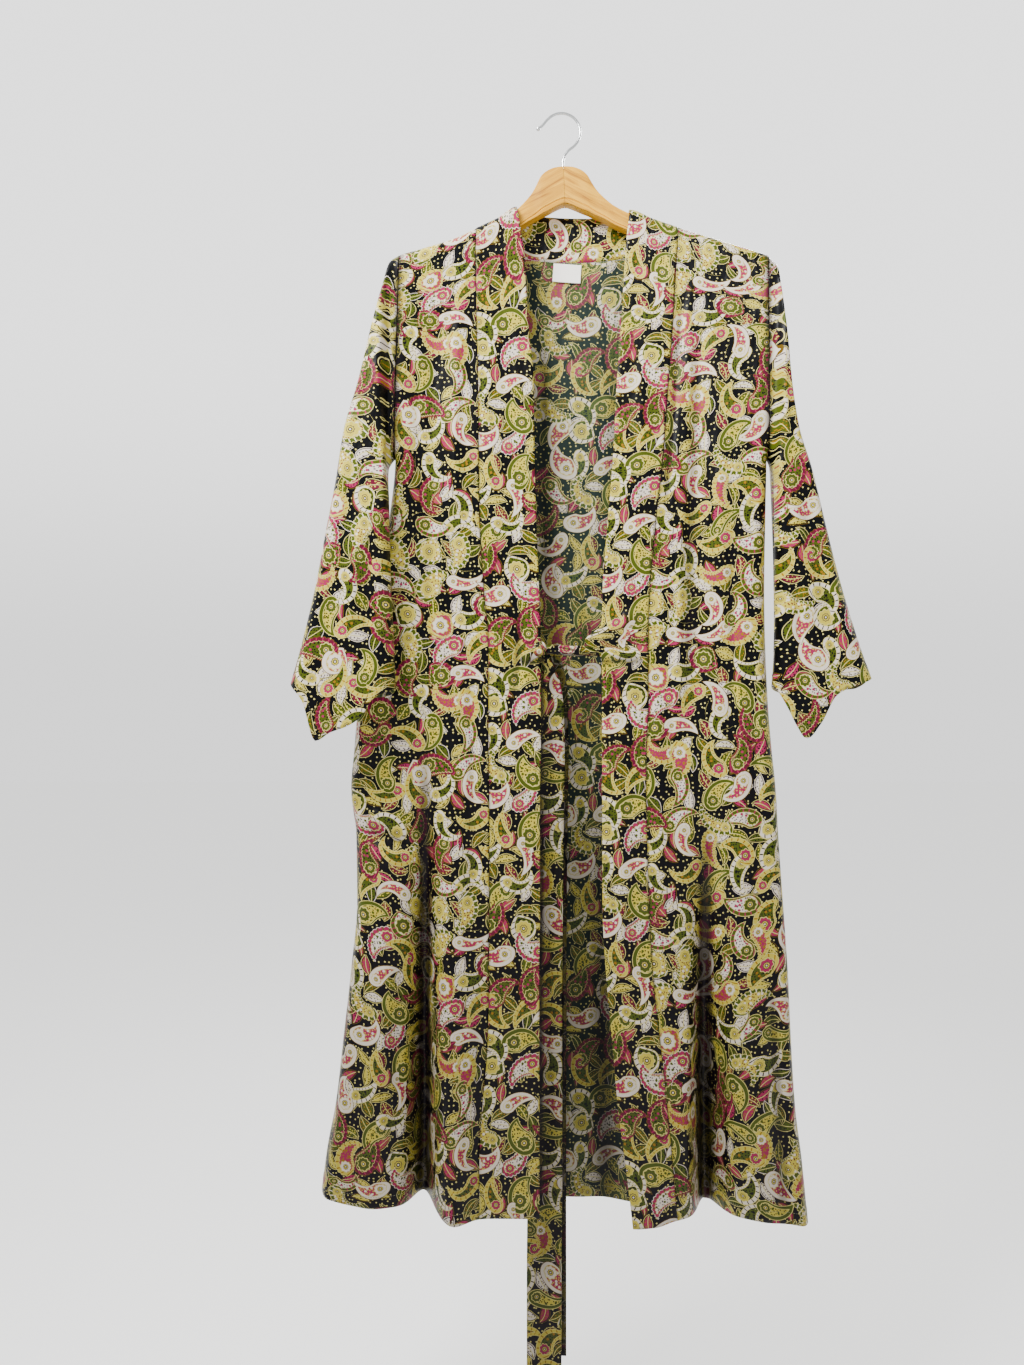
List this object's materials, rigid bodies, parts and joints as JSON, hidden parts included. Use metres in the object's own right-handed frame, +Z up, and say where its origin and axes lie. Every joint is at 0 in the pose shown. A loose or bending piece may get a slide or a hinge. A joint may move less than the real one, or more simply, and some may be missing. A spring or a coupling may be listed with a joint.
{
  "type": "dressing gown on a hanger",
  "caption": "Kimono-style satin dressing gown with straight sleeves and a knotted tie belt, hanging open on a wooden hanger with a wire hook.",
  "frame": {"origin": "the seat under the hook's top arc, where a rail or peg holds the hanger", "axes": "+Z up; the open front faces -Y; +X is to the right seen from the front"},
  "size_m": [0.6534, 0.1118, 1.4811],
  "materials": {
    "satin": "printed satin, dense paisley on blue-black, matte reverse",
    "label": "plain woven tab",
    "beech": "clear-lacquered pale wood",
    "hook_steel": "bright wire"
  },
  "bodies": {
    "root": {"back": "satin", "front_left": "satin", "front_right": "satin", "sleeve_left": "satin", "sleeve_right": "satin", "neckband_left": "satin", "neckband_right": "satin", "neckband_back": "satin", "belt_run": "satin", "belt_knot": "satin", "belt_end_front": "satin", "belt_end_back": "satin", "label": "label", "hanger_left": "beech", "hanger_right": "beech", "hanger_hook": "hook_steel"}
  },
  "joints": []
}
